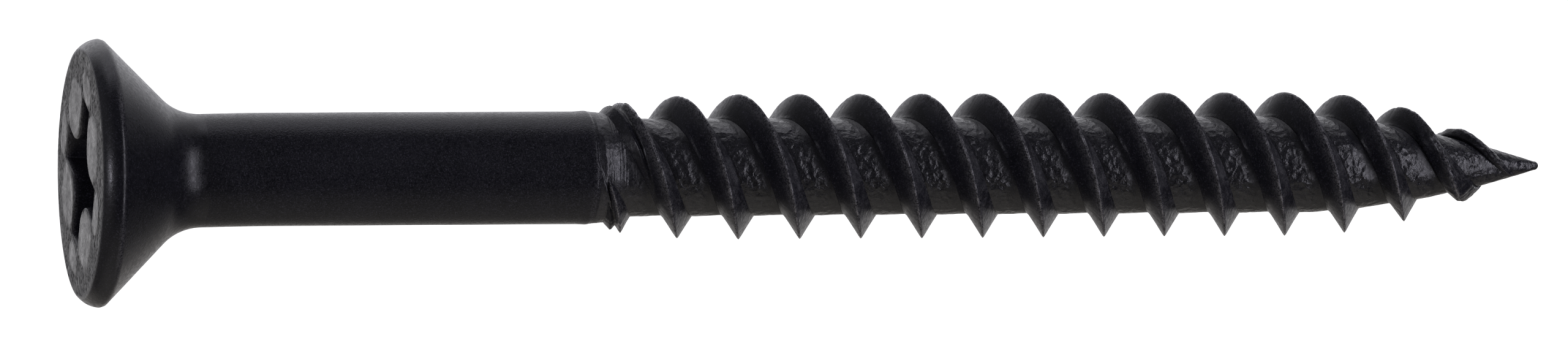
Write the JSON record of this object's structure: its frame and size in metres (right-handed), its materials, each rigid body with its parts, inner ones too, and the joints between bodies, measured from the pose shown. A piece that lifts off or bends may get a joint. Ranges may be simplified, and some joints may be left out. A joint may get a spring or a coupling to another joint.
{
  "type": "wood screw",
  "caption": "Countersunk wood screw with a cross recess, a plain shank, a coarse twin-flight thread and a sharp point, in black phosphated steel.",
  "frame": {"origin": "centre of the head's flat face, where the screw's axis meets the surface that it is driven flush with", "axes": "+Z along the screw's axis, out of the head towards the driver; the point is at z = -50 mm; one pair of recess wings lies 26 degrees clockwise of X seen from +Z"},
  "size_m": [0.0088, 0.0088, 0.05],
  "materials": {
    "head_face": "black phosphate, worn to a pitted mid grey on the flat face of the head",
    "black_steel": "near-black phosphate with a fine grain and a low sheen"
  },
  "bodies": {
    "root": {"head": "head_face", "shank": "black_steel", "core": "black_steel", "thread_a": "black_steel", "thread_b": "black_steel", "point": "black_steel"}
  },
  "joints": []
}
